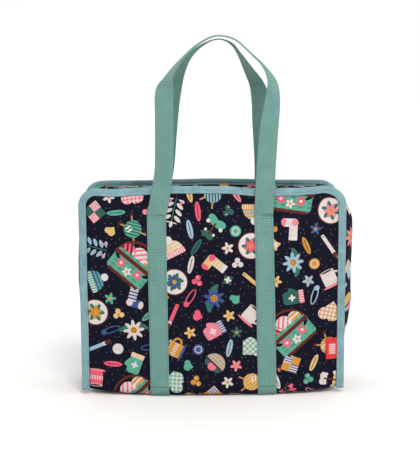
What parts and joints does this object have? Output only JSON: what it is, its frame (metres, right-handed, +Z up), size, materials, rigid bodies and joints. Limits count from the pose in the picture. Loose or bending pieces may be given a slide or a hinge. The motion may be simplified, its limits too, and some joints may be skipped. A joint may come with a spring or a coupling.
{
  "type": "knitting bag",
  "caption": "soft zipped box bag with padded printed panels, bound outer seams and two webbing handles that fold down",
  "frame": {"origin": "middle of the resting face, under the centre of the bag", "axes": "+Z up, +X along the zip to the right of the front, +Y from front to back"},
  "size_m": [0.4516, 0.1502, 0.5705],
  "materials": {
    "printed_cloth": "woven cotton with a small scattered print",
    "binding_tape": "folded twill tape",
    "webbing": "ribbed cotton webbing",
    "lining_cloth": "plain woven lining",
    "padding": "soft foam wadding",
    "base_stiffener": "plain sheet",
    "zip_tape": "woven tape",
    "zip_coil": "moulded coil",
    "zip_metal": "plated die casting",
    "tab_cloth": "woven ribbon tab"
  },
  "bodies": {
    "root": {"back_binding": "binding_tape", "back_padding": "padding", "back_panel": "printed_cloth", "base_board": "base_stiffener", "base_panel": "printed_cloth", "front_binding": "binding_tape", "front_padding": "padding", "front_panel": "printed_cloth", "inner_pocket": "lining_cloth", "label_tab": "tab_cloth", "left_gusset": "printed_cloth", "lining_back": "lining_cloth", "lining_base": "lining_cloth", "lining_front": "lining_cloth", "lining_left": "lining_cloth", "lining_right": "lining_cloth", "pocket_hem": "lining_cloth", "right_gusset": "printed_cloth", "strap_back_left": "webbing", "strap_back_right": "webbing", "strap_base_left": "webbing", "strap_base_right": "webbing", "strap_front_left": "webbing", "strap_front_right": "webbing", "zip_end_left": "printed_cloth", "zip_end_right": "printed_cloth", "zip_stops": "zip_metal", "zip_tape_ends": "zip_tape", "zip_teeth_ends": "zip_coil"},
    "front_flap_strip": {"front_flap": "printed_cloth", "zip_tape_front": "zip_tape", "zip_teeth_front": "zip_coil"},
    "back_flap_strip": {"back_flap": "printed_cloth", "zip_tape_back": "zip_tape", "zip_teeth_back": "zip_coil"},
    "slider": {"zip_slider": "zip_metal"},
    "pull": {"zip_pull": "zip_metal"},
    "front_carry_handle": {"front_handle": "webbing"},
    "back_carry_handle": {"back_handle": "webbing"}
  },
  "joints": [
    {"name": "front_flap_hinge", "type": "hinge", "parent": "root", "child": "front_flap_strip", "pos_m": [0, -0.0528, 0.3217], "axis": [1, 0, 0], "range_deg": [0, 80]},
    {"name": "back_flap_hinge", "type": "hinge", "parent": "root", "child": "back_flap_strip", "pos_m": [0, 0.0528, 0.3217], "axis": [-1, 0, 0], "range_deg": [0, 80]},
    {"name": "zip_slide", "type": "slide", "parent": "root", "child": "slider", "axis": [-1, 0, 0], "range_m": [0, 0.306]},
    {"name": "pull_swing", "type": "hinge", "parent": "slider", "child": "pull", "pos_m": [0.153, 0, 0.3226], "axis": [0, 1, 0], "range_deg": [0, 165]},
    {"name": "front_handle_fold", "type": "hinge", "parent": "root", "child": "front_carry_handle", "pos_m": [0, -0.0648, 0.29015], "axis": [1, 0, 0], "range_deg": [0, 160]},
    {"name": "back_handle_fold", "type": "hinge", "parent": "root", "child": "back_carry_handle", "pos_m": [0, 0.0648, 0.29015], "axis": [-1, 0, 0], "range_deg": [0, 160]}
  ]
}
